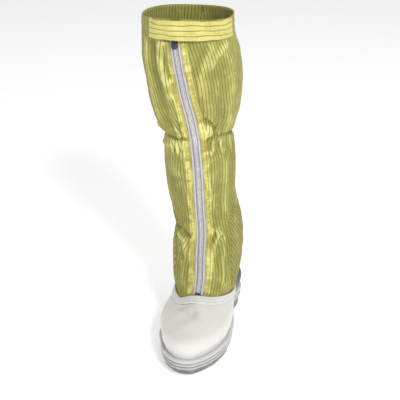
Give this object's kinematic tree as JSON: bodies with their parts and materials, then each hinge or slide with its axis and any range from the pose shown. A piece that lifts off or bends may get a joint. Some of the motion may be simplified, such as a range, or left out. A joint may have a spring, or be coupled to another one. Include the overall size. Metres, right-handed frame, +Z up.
{
  "type": "cleanroom boot",
  "caption": "Knee-high cleanroom boot for the right foot: white shoe with ribbed sole, striped cloth shaft, front zip and a strap across the collar.",
  "frame": {"origin": "on the floor under the middle of the heel", "axes": "+Z up, the toe towards -Y, the inner side of the foot towards +X"},
  "size_m": [0.1535, 0.2772, 0.4878],
  "materials": {
    "sole_white": "matte foamed sole",
    "upper_white": "smooth coated",
    "counter_black": "smooth coated",
    "fabric_yellow": "thin woven, fine dark stripes",
    "facing_yellow": "thin woven, stitched",
    "strap_yellow": "woven band, stripes along it",
    "tape_grey": "woven tape",
    "coil_grey": "coil",
    "slider_dark": "dark plated",
    "insole_grey": "board with cloth top"
  },
  "bodies": {
    "boot": {"sole": "sole_white", "insole": "insole_grey", "upper": "upper_white", "heel_counter": "counter_black", "topline_binding": "upper_white", "shaft": "fabric_yellow", "zip_facing_medial": "facing_yellow", "zip_facing_lateral": "facing_yellow", "zip_tape_medial": "tape_grey", "zip_tape_lateral": "tape_grey", "zip_coil": "coil_grey", "zip_bottom_stop": "slider_dark", "zip_slider": "slider_dark", "collar_strap": "strap_yellow"},
    "pull_tab": {"zip_pull_tab": "slider_dark"}
  },
  "joints": [
    {"name": "pull_tab_hinge", "type": "hinge", "parent": "boot", "child": "pull_tab", "pos_m": [-0.03517, -0.11824, 0.45508], "axis": [0.9945, -0.0011, 0.1045], "range_deg": [0, 7]}
  ]
}
